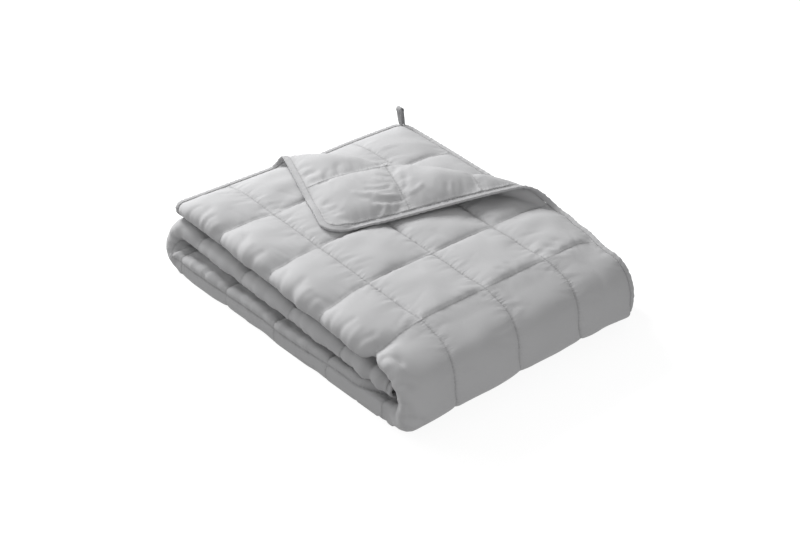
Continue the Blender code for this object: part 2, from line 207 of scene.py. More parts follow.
def fold(s, w, off):
    # the flat cloth's point (s, w), off metres from its middle outward, in the folded pile
    seamPast = alongLegs(s, "seamPast")
    r = 0.5 * step
    off = off - tuck(s, w)
    tip = w - seamPast
    inner = smooth(-tip / (pile["slideOver"] * wide))
    slid = s - pile["innerSlide"] * inner * np.maximum(1.0 - s / legSpan("top, right")[1], 0.0)
    end, over = pile["slipEnds"]
    slip = smooth(end - np.abs(tip) / (over * pocket))
    slid = slid + np.interp(s, pile["sideAt"], pile["sideSlip"]) * slip
    # across the strip: two flat sheets joined round the folded side
    angle = np.clip(tip / r, -0.5 * math.pi, 0.5 * math.pi)
    keep = np.where(tip < 0.0, alongLegs(s, "inner"), alongLegs(s, "outer"))
    drawn = alongLegs(s, "edgeIn") * np.clip((w - halfWide) / pocket + 1.0, 0.0, 1.0) ** 2
    flat = np.maximum(np.abs(tip) - halfRound, 0.0) * keep - drawn
    across = flat - (r + off) * np.cos(angle)
    m = (r + off) * np.sin(angle)
    y = across - (halfWide - seamPast - halfRound) + alongLegs(s, "skew")
    x, z, heading = stripPath(slid)
    x, z = x - m * np.sin(heading), z + m * np.cos(heading)
    # the corner turned back over the top sheet
    along, past, radius = creaseFrame(s, w)
    reach = past + 0.5 * math.pi * radius
    theta = np.clip(reach / radius, 0.0, math.pi)
    over = np.maximum(reach - math.pi * radius, 0.0)
    q = np.where(theta < math.pi, radius * np.sin(theta), -over) - 0.5 * math.pi * radius
    settle = smooth(over / flap["settles"])
    high = radius * (1.0 - np.cos(theta))
    high = np.where(over > 0.0, high + (flap["rest"] - 2.0 * radius) * settle, high)
    side = q - off * np.sin(theta)
    turned = reach > 0.0
    x = np.where(turned, along * creaseX - side * creaseY, x)
    y = np.where(turned, along * creaseY + side * creaseX - flap["atEnd"], y)
    z = np.where(turned, 5.5 * step + high + off * np.cos(theta), z)
    return x - pile["centre"][0], y - pile["centre"][1], z - droop(s, w)


# The quilt's surface.
quiltLook = dict(
    rowCuts=(36, 24),       # grid cells to a pocket along the strip: rows that show, and the rest
    columnCuts=(32, 17),    # and across it: outer sheet, inner sheet
    sideCuts=(36, 26),      # the same for the outer and the inner column beside the fold in the middle
    shownRows=5, backShownRows=3,       # rows with all their cells, on the outward and the inward face
    backEvery=6, hiddenEvery=4,         # elsewhere one row, or one column, in so many is kept
    unevenShare=0.16, unevenLengths=(0.045, 0.12),      # how unevenly the pockets are filled
    edgeSoft=0.045, edgeGentle=0.7,     # how far in from the bound edges pockets rise gently, how much so
    steepShare=0.56, steepOver=0.0056,  # share of a pocket's rise gained near its seams, and how near
    topFuller=1.04, topFades=0.05,      # how much fuller the free top's pockets are, and how that ends
    foldSeam=(0.0045, 0.028),           # how far the seam over the right fold is raised, and how wide
    foldDip=(0.0066, 0.055, 0.034),     # how deep the cloth dips after it, how far on and how wide
    bend=(0.12, 0.120),     # the pocket over the right fold starts this full, and is full this far on
    valleyDeep=0.45, valleyWide=0.030,  # valleys at the crossing seams by the folded side. They start
    valleyFrom=1.0, valleyTo=0.15,      # this many pockets from its tip, and are deepest this near it
    # below the tip: where that starts, how much shallower valleys and pockets are, and how far from foldAt
    underFrom=0.008, underFill=1.5, underFlat=0.28, underClear=0.040,
    sideReach=1.6,          # half rounds from the tip to the end of the folded side's round
    lobeEnds=(1.5, 0.9), rollReach=1.5,                 # the same for the lobe and for the corner's crease
    turnFlat=0.45, rollFlat=0.45, floorFlat=0.6,        # flatter on the left turn, crease and floor
    backSideFlat=0.45, backRollFlat=0.3, backPuckersFlat=0.6,      # and inward, where cloth is bent
    mostPressed=0.9, leastPuckered=0.2, leastHalf=0.0010, leastThick=0.0030,
    puckerPitch=0.0115, puckerDeep=(0.0004, 0.0012), puckerWide=(0.0024, 0.0042), puckerReach=(0.0040, 0.010),
    puckerJitter=0.38, puckerSlant=0.5, puckersEnd=0.045,
    troughs=0.72, ridgeHigh=0.7,        # share of the puckers that are troughs, and how high the rest are
    longOnes=0.15, longer=2.2,          # share of them that reach further, and how far
    creaseBow=0.10, creaseFull=0.35, creaseFade=1.2,    # how creases bow and how their ends fade
)

# Creases and puffs of the cloth. Each runs from a row and column to a row and column, in pockets of the
# open blanket. Then come how high it is, below 0 for a trough, and half its width, in millimetres.
outwardCreases = (
    # folded side of the top strip, pocket by pocket
    (0.50, 0.42, 0.58, 0.16, -1.6, 6.2),
    (0.70, 0.36, 0.66, 0.12, -1.3, 4.8),
    (0.86, 0.30, 0.80, 0.14, 1.2, 5.3),
    (1.30, 0.42, 1.44, 0.14, -1.9, 5.7),
    (1.52, 0.36, 1.56, 0.10, 1.2, 5.3),
    (1.72, 0.40, 1.66, 0.12, -1.7, 5.3),
    (1.12, 0.34, 1.16, 0.16, -1.0, 4.4),
    (2.14, 0.40, 2.30, 0.16, -1.6, 5.3),
    (2.46, 0.44, 2.50, 0.12, -1.9, 6.2),
    (2.66, 0.36, 2.62, 0.12, 1.2, 4.8),
    (2.82, 0.34, 2.76, 0.14, -1.4, 4.8),
    (3.16, 0.38, 3.26, 0.14, -1.6, 5.3),
    (3.46, 0.42, 3.42, 0.12, -1.6, 5.7),
    (3.64, 0.36, 3.66, 0.12, 1.2, 4.8),
    (3.82, 0.44, 3.74, 0.16, -1.7, 5.3),
    # front edge of the right fold
    (4.09, 0.40, 4.14, 0.32, 3.4, 12.0),
    (4.10, 0.24, 4.24, 0.36, -3.6, 4.8),
    (4.17, 0.22, 4.27, 0.31, 1.8, 5.0),
    (4.30, 0.26, 4.52, 0.30, 2.0, 5.0),
    (4.33, 0.28, 4.38, 0.40, -3.2, 4.2),
    (4.46, 0.31, 4.58, 0.35, -5.0, 5.0),
    (4.59, 0.34, 4.60, 0.47, -5.0, 5.0),
    (4.36, 0.19, 4.56, 0.22, -4.0, 5.0),
    # right fold's face
    (4.16, 3.38, 4.40, 3.46, -1.2, 8.0),
    (3.84, 3.04, 3.97, 3.10, -2.4, 5.0),
    (3.82, 3.18, 3.96, 3.26, -2.6, 6.0),
    (3.80, 3.36, 4.00, 3.42, -2.0, 6.0),
    (3.84, 2.36, 3.98, 2.42, -2.0, 5.5),
    (3.82, 2.52, 3.95, 2.54, -1.6, 5.0),
    # left turn
    (9.46, 0.16, 9.42, -0.12, -3.6, 5.5),
    (9.28, 0.08, 9.10, -0.16, -3.4, 5.5),
    (9.12, 0.10, 8.90, -0.10, -3.4, 5.5),
    (9.62, 0.30, 9.60, 0.02, 2.6, 7.0),
    # folded side of the middle strip
    (10.20, 0.34, 10.28, 0.06, -1.8, 4.4),
    (10.50, 0.34, 10.46, 0.06, -1.2, 5.5),
    (10.78, 0.34, 10.74, 0.06, -1.2, 6.9),
    (11.24, 0.34, 11.30, 0.06, -1.8, 4.8),
    (11.56, 0.34, 11.50, 0.06, -1.6, 5.5),
    (11.80, 0.34, 11.76, 0.06, -1.0, 6.3),
    (12.18, 0.34, 12.28, 0.06, -2.1, 4.4),
    (12.44, 0.34, 12.42, 0.06, -1.4, 5.5),
    (12.76, 0.34, 12.72, 0.06, -1.3, 6.3),
    (13.20, 0.34, 13.30, 0.06, -2.6, 5.5),
    (13.58, 0.36, 13.62, 0.08, -8.0, 7.0),
    (13.80, 0.32, 13.84, 0.12, 3.0, 8.0),
    (13.88, 0.26, 13.90, 0.14, -2.2, 4.0),
    # folded side of the bottom strip: above the middle seam and below it
    (8.72, -0.22, 8.60, 0.03, -1.8, 6.9),
    (8.40, -0.20, 8.48, 0.02, -2.8, 4.8),
    (8.16, -0.22, 8.20, 0.00, -1.4, 5.0),
    (7.80, -0.22, 7.68, 0.02, -1.7, 6.9),
    (7.46, -0.22, 7.52, 0.00, -2.1, 4.4),
    (7.20, -0.22, 7.28, 0.02, -2.1, 6.0),
    (6.82, -0.22, 6.72, 0.02, -1.7, 7.5),
    (6.50, -0.22, 6.54, 0.00, -2.1, 4.4),
    (6.22, -0.22, 6.30, 0.02, -2.1, 5.5),
    (5.78, -0.22, 5.68, 0.02, -1.7, 6.9),
    (5.44, -0.22, 5.50, 0.00, -2.4, 4.4),
    (8.56, 0.02, 8.50, 0.16, -1.4, 6.0),
    (7.66, 0.02, 7.60, 0.16, -1.1, 6.9),
    (6.60, 0.02, 6.54, 0.16, -1.8, 4.8),
    (5.60, 0.02, 5.54, 0.16, -1.4, 6.0),
)
backCreases = (
    # the turned-back corner
    (0.44, 3.49, 0.66, 3.62, 1.9, 3.8),
    (0.66, 3.63, 0.90, 3.72, 2.3, 3.4),
    (0.58, 3.49, 0.92, 3.57, -2.4, 3.6),
    (0.72, 3.64, 0.90, 3.65, -1.6, 2.8),
    (0.60, 3.73, 0.90, 3.80, -2.6, 4.8),
    (0.50, 3.64, 0.62, 3.69, -1.2, 3.2),
    (0.74, 3.30, 0.92, 3.42, 1.8, 2.8),
    (0.62, 3.36, 0.84, 3.47, -1.3, 3.6),
    (0.84, 3.22, 0.96, 3.34, -2.2, 3.0),
    (0.87, 3.36, 0.98, 3.50, -2.4, 3.0),
    (0.92, 3.60, 0.98, 3.45, 1.8, 2.8),
    (0.62, 3.81, 0.78, 3.84, 1.8, 3.6),
    (0.80, 3.85, 0.67, 3.99, 2.2, 4.6),
    (0.70, 3.88, 0.61, 4.00, -2.4, 5.6),
    (0.93, 3.88, 0.84, 3.97, -2.8, 3.6),
    (0.88, 3.80, 1.06, 3.74, -3.0, 3.0),
    (1.02, 3.75, 1.30, 3.67, 2.2, 4.2),
    (1.04, 3.66, 1.15, 3.36, -2.4, 5.5),
    (1.05, 3.26, 1.10, 3.12, -1.6, 4.0),
    (1.50, 3.62, 1.46, 3.92, 2.2, 26.0),
    (1.36, 3.84, 1.48, 3.98, -1.8, 7.0),
    (1.66, 3.76, 1.62, 3.95, 1.3, 4.2),
    (1.60, 3.79, 1.57, 3.95, -1.7, 4.8),
    (0.14, 2.60, 0.04, 2.56, -2.0, 4.5),
    (0.18, 2.78, 0.04, 2.74, -2.4, 4.5),
    (0.30, 2.86, 0.26, 3.04, -2.6, 6.0),
    (0.12, 2.92, 0.22, 3.08, -2.4, 5.0),
    (0.46, 2.80, 0.42, 2.96, -1.8, 6.0),
    (0.20, 3.70, 0.05, 3.66, -3.0, 4.5),
    (0.24, 3.78, 0.08, 3.78, -3.0, 4.5),
    (0.16, 3.56, 0.04, 3.50, -2.4, 4.5),
)


def gridLines():
    # the grid's lines, closer together where the cloth shows
    fine, coarse = quiltLook["rowCuts"]
    rows = []
    for k in range(blanket["along"]):
        size = rowSeams[k + 1] - rowSeams[k]
        cuts = fine if k < quiltLook["shownRows"] else coarse
        cuts = int(round(cuts * size / pocket))
        rows += list(rowSeams[k] + size * np.arange(cuts) / cuts)
    (outer, inner), (outerSide, innerSide) = quiltLook["columnCuts"], quiltLook["sideCuts"]
    half = blanket["across"] // 2
    columns = []
    for k, cuts in enumerate([inner] * (half - 1) + [innerSide, outerSide] + [outer] * (half - 1)):
        columns += list(columnSeams[k] + pocket * np.arange(cuts) / cuts)
    return np.array(rows + [long]), np.array(columns + [halfWide])


def softNoise(rows, columns, lengths, count=36):
    # a smooth random field over the grid, from plane waves, about -1 to 1
    total = np.zeros((len(rows), len(columns)))
    for _ in range(count):
        length, turn = dice.uniform(*lengths), dice.uniform(0.0, math.pi)
        phase = dice.uniform(0.0, 2.0 * math.pi)
        along = 2.0 * math.pi * math.cos(turn) * rows / length
        across = 2.0 * math.pi * math.sin(turn) * columns / length
        total += np.cos(along[:, None] + across[None, :] + phase)
    return total / math.sqrt(2.0 * count)


def puckerBand(along, off):
    # short troughs and ridges that start on a stitched line at off = 0 and die out away from it
    look = quiltLook
    pitch, jitter, lean = look["puckerPitch"], look["puckerJitter"], look["puckerSlant"]
    count = max(int((along[-1] - along[0]) / pitch), 2)
    centre = along[0] + (np.arange(count) + dice.uniform(-jitter, jitter, count)) * pitch
    half = dice.uniform(*look["puckerWide"], count)
    deep = -dice.uniform(*look["puckerDeep"], count)
    deep *= np.where(dice.random(count) < look["troughs"], 1.0, -look["ridgeHigh"])
    reach = dice.uniform(*look["puckerReach"], count)
    reach *= np.where(dice.random(count) < look["longOnes"], look["longer"], 1.0)
    slant = dice.uniform(-lean, lean, count)
    a = along[:, None, None] - centre[:, None] - slant[:, None] * off
    fall = off / reach[:, None]
    fall = fall * np.exp(1.0 - fall)
    return (deep[:, None] * fall * np.exp(-(a / half[:, None]) ** 2)).sum(1)


def seamPuckers(rows, columns):
    # puckers on both sides of every stitched line: those that run along the strip, then those across it
    total = np.zeros((len(rows), len(columns)))
    ways = ((columnSeams, columns, rows, total.T), (rowSeams, rows, columns, total))
    for seams, places, along, into in ways:
        for line in seams:
            for side in (-1.0, 1.0):
                gap = side * (places - line)
                near = np.nonzero((gap > 0.0) & (gap < quiltLook["puckersEnd"]))[0]
                if len(near):
                    into[near, :] += puckerBand(along, gap[near]).T
    return total


def creaseRelief(rows, columns, table):
    # a table's troughs and ridges, each fading out at its ends
    look = quiltLook
    s, w = np.meshgrid(rows, columns, indexing="ij")
    total = np.zeros_like(s)
    for row, column, toRow, toColumn, high, half in table:
        high, half = 0.001 * high, 0.001 * half
        start, end = np.interp((row, toRow), range(blanket["along"] + 1), rowSeams)
        ds, dw = end - start, (toColumn - column) * pocket
        size = math.hypot(ds, dw)
        t = ((s - start) * ds + (w - column * pocket) * dw) / size ** 2
        gap = ((s - start) * dw - (w - column * pocket) * ds) / size
        gap = gap + look["creaseBow"] * size * np.sin(math.pi * np.clip(t, 0.0, 1.0))
        past = np.maximum(np.abs(t - 0.5) - look["creaseFull"], 0.0) * size / (look["creaseFade"] * half)
        total += high * np.exp(-((gap / half) ** 2) - past ** 2)
    return total


def pocketShares(s, w):
    # how far a point lies along and across its own pocket, 0 to 1
    a = np.mod(np.interp(s, rowSeams, np.arange(blanket["along"] + 1.0)), 1.0)
    return a, np.mod(w / pocket, 1.0)


def rise(share, length):
    # how full a pocket is, 0 on its seams and 1 at its crown, at a share of its length
    steep = 1.0 - np.exp(-np.minimum(share, 1.0 - share) * length / quiltLook["steepOver"])
    return quiltLook["steepShare"] * steep + (1.0 - quiltLook["steepShare"]) * 4.0 * share * (1.0 - share)


def reliefs(rows, columns):
    # how far the two faces stand off the cloth's middle, on the grid: outward face, inward face
    look = quiltLook
    s, w = np.meshgrid(rows, columns, indexing="ij")
    a, b = pocketShares(s, w)
    tip = w - alongLegs(s, "seamPast")
    low = lowest(s)
    seamGap = np.abs(s[..., None] - rowSeams[1:-1]).min(-1)
    _, past, radius = creaseFrame(s, w)
    # where the cloth is bent, pressed or free, each 0 to 1
    atTip = smooth(look["sideReach"] - np.abs(tip) / halfRound)
    left = fade(s, *legSpan("left turn")) * smooth(-tip / halfRound)
    onFloor = low * smooth(tip / halfRound)
    end, over = look["lobeEnds"]
    lobe = low * smooth(-w / blanket["seamReach"]) * smooth((tip / halfRound + end) / over)
    rolled = smooth(look["rollReach"] - np.abs(past) / (0.5 * math.pi * radius))
    onTop = (1.0 - smooth((s - legSpan("fold, lower")[0]) / look["topFades"])) * smooth(tip / halfRound)
    under = (1.0 - low) * smooth((look["underFrom"] - tip) / (2.0 * look["underFrom"]))
    under = under * smooth((tip + 2.0 * halfRound) / halfRound)
    under = under * (1.0 - np.exp(-(((s - foldAt) / look["underClear"]) ** 2)))
    # how full the pockets are
    size = np.interp(s, 0.5 * (rowSeams[1:] + rowSeams[:-1]), np.diff(rowSeams))
    edge = np.minimum(halfWide - np.abs(w), np.minimum(s, long - s))
    least, over = look["bend"]
    bend = np.where(s > foldAt, least + (1.0 - least) * smooth((s - foldAt) / over), 1.0)
    gentle = 1.0 + look["edgeGentle"] * smooth(1.0 - edge / look["edgeSoft"])
    full = (rise(a, size) * rise(b, pocket)) ** gentle * bend
    near, far = look["valleyTo"], look["valleyFrom"]
    atSide = smooth((far - np.abs(tip) / pocket) / (far - near))
    valley = 1.0 - look["valleyDeep"] * atSide * (1.0 - low) * np.exp(-((seamGap / look["valleyWide"]) ** 2))
    crown = blanket["crown"] * (1.0 + (look["topFuller"] - 1.0) * onTop)
    crown += (blanket["floorCrown"] - blanket["crown"]) * onFloor + blanket["lobe"] * lobe
    crown = crown * (1.0 - look["underFlat"] * under)
    touch = legSpan("bottom, front")[0]
    coming = fade(s, touch - blanket["turnAbove"], touch) * smooth(tip / halfRound)
    pressed = onFloor * (blanket["floorSeams"] + blanket["sideSeams"] * atTip) + blanket["turnSeams"] * coming
    full = full + (1.0 - full) * np.minimum(pressed, look["mostPressed"])
    # the seam over the right fold and the dip after it
    (up, upWide), (down, downAt, downWide) = look["foldSeam"], look["foldDip"]
    beyond = s - foldAt
    eased = up * np.exp(-((beyond / upWide) ** 2)) - down * np.exp(-(((beyond - downAt) / downWide) ** 2))
    eased = eased * smooth(tip / pocket) * smooth((halfWide - w) / (0.5 * pocket))
    dip = np.minimum(eased, 0.0)
    filled = look["underFill"] * under * np.exp(-((seamGap / blanket["crossReach"]) ** 2))
    eased = eased + blanket["crossTuck"] * filled
    uneven = 1.0 + look["unevenShare"] * softNoise(rows, columns, look["unevenLengths"])
    unevenBack = 1.0 + look["unevenShare"] * softNoise(rows, columns, look["unevenLengths"])
    slack = 1.0 - look["turnFlat"] * left - look["rollFlat"] * rolled
    puckered = np.clip(slack * (1.0 - look["floorFlat"] * onFloor), look["leastPuckered"], 1.0)
    outward = seamHalf + full * valley * crown * uneven * slack + eased
    outward += seamPuckers(rows, columns) * puckered + creaseRelief(rows, columns, outwardCreases)
    slack = 1.0 - look["backSideFlat"] * atTip - look["backRollFlat"] * rolled
    puckered = 1.0 - look["backPuckersFlat"] * atTip
    inward = seamHalf + full * blanket["crown"] * unevenBack * slack
    inward += seamPuckers(rows, columns) * puckered + creaseRelief(rows, columns, backCreases)
    # no face goes into the next sheet, and both keep apart
    side = low * (tip > -0.9 * halfRound)
    free = np.maximum(np.maximum(onTop, onFloor), side)
    outward = np.where(free < 0.5, np.minimum(outward, pile["clearOfNext"]), outward)
    bare = (past > 0.5 * math.pi * radius) | ((w < 0.0) & (s < 3.0 * pocket))
    inward = np.where(bare, inward, np.minimum(inward, pile["clearOfNext"]))
    outward = np.maximum(outward, look["leastHalf"] + dip)
    return outward, np.maximum(np.maximum(inward, look["leastHalf"]), look["leastThick"] - outward)


quiltGrid = gridLines()
outRelief, backRelief = reliefs(*quiltGrid)
print("quilt surface:", len(quiltGrid[0]), "by", len(quiltGrid[1]), "lines")


def readRelief(relief, s, w):
    # a relief on the grid's lines, read between them
    rows, columns = quiltGrid
    i = np.clip(np.searchsorted(rows, s) - 1, 0, len(rows) - 2)
    j = np.clip(np.searchsorted(columns, w) - 1, 0, len(columns) - 2)
    a = np.clip((s - rows[i]) / (rows[i + 1] - rows[i]), 0.0, 1.0)
    b = np.clip((w - columns[j]) / (columns[j + 1] - columns[j]), 0.0, 1.0)
    return ((relief[i, j] * (1 - a) + relief[i + 1, j] * a) * (1 - b)
            + (relief[i, j + 1] * (1 - a) + relief[i + 1, j + 1] * a) * b)


def topSheetHeight(x, y):
    # the upper face of the top sheet where the turned-back corner can lie on it
    s = np.clip(x + pile["centre"][0], 0.0, flap["liesOn"])
    w = np.clip(halfWide + y + pile["centre"][1], 0.0, halfWide)
    return 5.5 * step + readRelief(outRelief, s, w) - droop(s, w)


def bothFaces(s, w, outward, inward):
    # the outward and inward faces over flat points, kept off the floor and off the sheet below
    x1, y1, z1 = fold(s, w, outward)
    x2, y2, z2 = fold(s, w, -inward)
    _, past, radius = creaseFrame(s, w)
    bare = past > 0.5 * math.pi * radius
    x, y = x1 + pile["centre"][0], y1 + pile["centre"][1]
    line = pile["floorLine"] + pile["floorSlant"] * x
    above, over = pile["floorEnds"]
    y1 = y1 + (np.maximum(y, line) - y) * lowest(s) * smooth((w + above) / over)
    bed = topSheetHeight(x1, y1) + flap["clear"]
    z1 = np.where(bare, np.maximum(z1, bed), np.maximum(z1, 0.0))
    z2 = np.where(bare, np.maximum(z2, z1 + flap["thin"]), np.maximum(z2, pile["floorThick"]))
    return np.stack([x1, y1, z1], -1), np.stack([x2, y2, z2], -1)


def roundCorner(s, w, out=0.0):
    # draws the flat cloth's square corners in to round ones, and moves a point out past the edge
    inset = blanket["cornerRound"]
    cs, cw = np.clip(s, inset, long - inset), np.clip(w, inset - halfWide, halfWide - inset)
    vs, vw = s - cs, w - cw
    size = np.hypot(vs, vw)
    safe = np.maximum(size, 1e-9)
    k = np.where(size > 0.0, np.maximum(np.abs(vs), np.abs(vw)) / safe + out / safe, 1.0)
    return cs + vs * k, cw + vw * k


def newObject(name, points, faces, material):
    mesh = bpy.data.meshes.new(name)
    mesh.from_pydata(np.asarray(points).tolist(), [], faces)
    mesh.validate()
    mesh.shade_smooth()
    mesh.materials.append(material)
    item = bpy.data.objects.new(name, mesh)
    bpy.context.scene.collection.objects.link(item)
    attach(item, "root")
    return item


# The cloth of the quilt and the binding: lengths in metres of cloth, scales of noise per metre.
clothLook = dict(
    colour=(0.40, 0.40, 0.405), shade=(0.36, 0.36, 0.365), roughness=0.92, sheen=0.12,
    blotch=11.0, blotchShare=0.7, fibre=600.0, fibreShare=0.25,      # the nap's colour
    weave=1500.0, weaveDeep=0.00012, weaveStrength=0.6,
    crinkle=210.0, crinkleDeep=0.007, crinkleReach=0.0065, crossShare=0.6, patch=38.0,
    seamShadeColour=(0.10, 0.10, 0.10), seamShadeWide=0.0012, seamShadeShare=0.62,   # painted shade: the dark line painted along the stitched lines, where their grooves are shaded
)


def newMaterial(name, colour, roughness, sheen=0.0):
    material = bpy.data.materials.new(name)
    material.use_nodes = True
    shader = material.node_tree.nodes["Principled BSDF"]
    shader.inputs["Base Color"].default_value = (*colour, 1.0)
    shader.inputs["Roughness"].default_value = roughness
    shader.inputs["Specular IOR Level"].default_value = 0.25
    shader.inputs["Sheen Weight"].default_value = sheen
    shader.inputs["Sheen Roughness"].default_value = 0.45
    return material, shader, NodeMaker(material.node_tree)


class NodeMaker:
    # short calls for a material's nodes and the links between them
    def __init__(self, tree):
        self.tree = tree

    def add(self, kind, **settings):
        node = self.tree.nodes.new(kind)
        for name, value in settings.items():
            setattr(node, name, value)
        return node

    def feed(self, node, socket, value):
        if hasattr(value, "is_output"):
            self.tree.links.new(value, node.inputs[socket])
        else:
            node.inputs[socket].default_value = value

    def make(self, kind, output, **inputs):
        node = self.add(kind)
        for socket, value in inputs.items():
            self.feed(node, socket, value)
        return node.outputs[output]

    def math(self, operation, first, second=0.0):
        node = self.add("ShaderNodeMath", operation=operation)
        self.feed(node, 0, first)
        self.feed(node, 1, second)
        return node.outputs[0]

    def fall(self, gap, reach):
        # e to a power: 1 on a line, dying out away from it
        return self.math("POWER", 2.718, self.math("MULTIPLY", gap, -1.0 / reach))

    def noise(self, place, scale, detail=2.0, roughness=0.5):
        return self.make("ShaderNodeTexNoise", "Fac", Vector=place, Scale=scale, Detail=detail,
                         Roughness=roughness)

    def stretched(self, place, scale):
        return self.make("ShaderNodeMapping", "Vector", Vector=place, Scale=scale)

    def mix(self, share, first, second):
        node = self.add("ShaderNodeMix", data_type="RGBA")
        self.feed(node, 0, share)
        self.feed(node, 6, first if hasattr(first, "is_output") else (*first, 1.0))
        self.feed(node, 7, (*second, 1.0))
        return node.outputs[2]

    def bump(self, height, distance, strength, **normal):
        return self.make("ShaderNodeBump", "Normal", Height=height, Distance=distance, Strength=strength,
                         **normal)


def clothMaterial(name, colour, shade, crinklesAndSeamShade=True):
    # brushed cotton with a fine weave, blotches of nap, and crinkles that run in from each stitched line;
    # with the crinkles comes painted shade, a dark line painted along each stitched line
    look = clothLook
    material, shader, nodes = newMaterial(name, colour, look["roughness"], look["sheen"])
    place = nodes.add("ShaderNodeAttribute", attribute_name="clothPlace").outputs["Vector"]
    blotches = nodes.noise(place, look["blotch"], 4.0, 0.6)
    fibres = nodes.noise(place, look["fibre"], 3.0, 0.7)
    tone = nodes.math("ADD", nodes.math("MULTIPLY", blotches, look["blotchShare"]),
                      nodes.math("MULTIPLY", fibres, look["fibreShare"]))
    cloth = nodes.mix(tone, shade, colour)
    threads = nodes.math("ADD",
                         nodes.noise(nodes.stretched(place, (1.0, 0.25, 1.0)), look["weave"], 1.0),
                         nodes.noise(nodes.stretched(place, (0.25, 1.0, 1.0)), look["weave"], 1.0))
    normal = nodes.bump(threads, look["weaveDeep"], look["weaveStrength"])
    if crinklesAndSeamShade:
        height, paintedSeamShade = None, None
        patches = nodes.noise(place, look["patch"], 1.0)
        for attribute, stretch, share in (("fromCrossSeam", (0.2, 1.0, 1.0), look["crossShare"]),
                                          ("fromLongSeam", (1.0, 0.2, 1.0), 1.0)):
            gap = nodes.add("ShaderNodeAttribute", attribute_name=attribute).outputs["Fac"]
            near = nodes.fall(gap, look["crinkleReach"])
            folds = nodes.noise(nodes.stretched(place, stretch), look["crinkle"], 3.0, 0.6)
            near = nodes.math("MULTIPLY", near, nodes.math("MULTIPLY", patches, share))
            part = nodes.math("MULTIPLY", folds, near)
            height = part if height is None else nodes.math("ADD", height, part)
            # painted shade: a dark line within about a millimetre of each stitched line, where the seam's
            # groove is shaded
            line = nodes.fall(gap, look["seamShadeWide"])
            paintedSeamShade = line if paintedSeamShade is None else nodes.math("MAXIMUM", paintedSeamShade, line)
        normal = nodes.bump(height, look["crinkleDeep"], 0.9, Normal=normal)
        # the painted seam shade, broken up by noise, pulls the cloth's colour towards the dark seam shade
        # colour
        paintedSeamShade = nodes.math("MULTIPLY", paintedSeamShade, nodes.noise(place, look["crinkle"], 1.0))
        cloth = nodes.mix(nodes.math("MULTIPLY", paintedSeamShade, look["seamShadeShare"]), cloth, look["seamShadeColour"])
    nodes.feed(shader, "Base Color", cloth)
    nodes.feed(shader, "Normal", normal)
    return material


def storeCloth(item, s, w):
    # each point's place on the flat cloth and its distance to the nearest stitched lines, for the material
    new = item.data.attributes.new
    place = np.stack([s, w, np.zeros_like(s)], -1).astype(np.float32)
    new("clothPlace", "FLOAT_VECTOR", "POINT").data.foreach_set("vector", place.ravel())
    for name, places, seams in (("fromCrossSeam", s, rowSeams), ("fromLongSeam", w, columnSeams)):
        gap = np.abs(places[:, None] - seams[None, :]).min(1).astype(np.float32)
        new(name, "FLOAT", "POINT").data.foreach_set("value", gap)


def gridFaces(at, fineLines, kept, flip):
    # quads over a grid of points: all its columns for the first lines, the kept ones after them
    faces = []

    def add(*corners):
        corners = [int(v) for v in corners]
        faces.append(corners[::-1] if flip else corners)

    for i in range(len(at) - 1):
        lines = range(at.shape[1]) if i < fineLines else kept
        for j, k in zip(lines, lines[1:]):
            between = at[i, j + 1:k][::-1] if i == fineLines else ()
            add(at[i, j], at[i + 1, j], at[i + 1, k], at[i, k], *between)
    return faces


def makeQuilt():
    rows, columns = quiltGrid
    s, w = np.meshgrid(rows, columns, indexing="ij")
    rs, rw = roundCorner(s, w)
    out, back = bothFaces(rs, rw, outRelief, backRelief)
    # the inward face leaves lines out where only hidden cloth is crossed
    shown = int(np.searchsorted(rows, rowSeams[quiltLook["backShownRows"]]))
    kept = list(range(shown)) + list(range(shown, len(rows) - 1, quiltLook["backEvery"])) + [len(rows) - 1]
    n, m, b = len(rows), len(columns), len(kept)
    at = np.arange(n * m).reshape(n, m)
    backAt = n * m + np.arange(b * m).reshape(b, m)
    every = quiltLook["hiddenEvery"]
    fewer = [j for j in range(m) if j % every == 0 or j == m - 1 or abs(columns[j]) < 0.5 * pocket]
    faces = gridFaces(at, int(np.searchsorted(rows, rowSeams[quiltLook["shownRows"]])), fewer, False)
    faces += gridFaces(backAt, shown, fewer, True)
    for k in range(b - 1):
        i, j = kept[k], kept[k + 1]
        chain = list(range(i, j + 1))
        faces.append([int(at[c, 0]) for c in reversed(chain)] + [int(backAt[k, 0]), int(backAt[k + 1, 0])])
        faces.append([int(at[c, -1]) for c in chain] + [int(backAt[k + 1, -1]), int(backAt[k, -1])])
    for c in range(m - 1):
        faces.append([int(v) for v in (at[0, c], at[0, c + 1], backAt[0, c + 1], backAt[0, c])])
    for c, d in zip(fewer, fewer[1:]):
        faces.append([int(v) for v in (at[-1, d], at[-1, c], backAt[-1, c], backAt[-1, d])])
    points = np.concatenate([out.reshape(-1, 3), back[kept].reshape(-1, 3)])
    material = clothMaterial("quilt cloth", clothLook["colour"], clothLook["shade"])
    quilt = newObject("quilted_cloth", points, faces, material)
    flat = [np.concatenate([v.ravel(), v[kept].ravel()]) for v in (s, w)]
    storeCloth(quilt, *flat)
    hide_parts("quilt")
    return quilt


quilt = makeQuilt()
print("quilt:", len(quilt.data.vertices), "points")

# The stitched lines: one small lens of thread for each stitch.
threadLook = dict(
    pitch=0.0034, length=0.0026, half=0.00038, rise=0.00045,
    inset=0.004,            # from the edge to a line's first stitch
    colour=(0.36, 0.36, 0.365), light=(0.40, 0.40, 0.405), dark=(0.30, 0.30, 0.305), twist=2500.0,
)


def threadMaterial():
    look = threadLook
    material, shader, nodes = newMaterial("stitch thread", look["colour"], 0.6, 0.1)
    place = nodes.add("ShaderNodeTexCoord").outputs["Object"]
    twist = nodes.noise(place, look["twist"], 2.0)
    nodes.feed(shader, "Base Color", nodes.mix(twist, look["dark"], look["light"]))
    return material


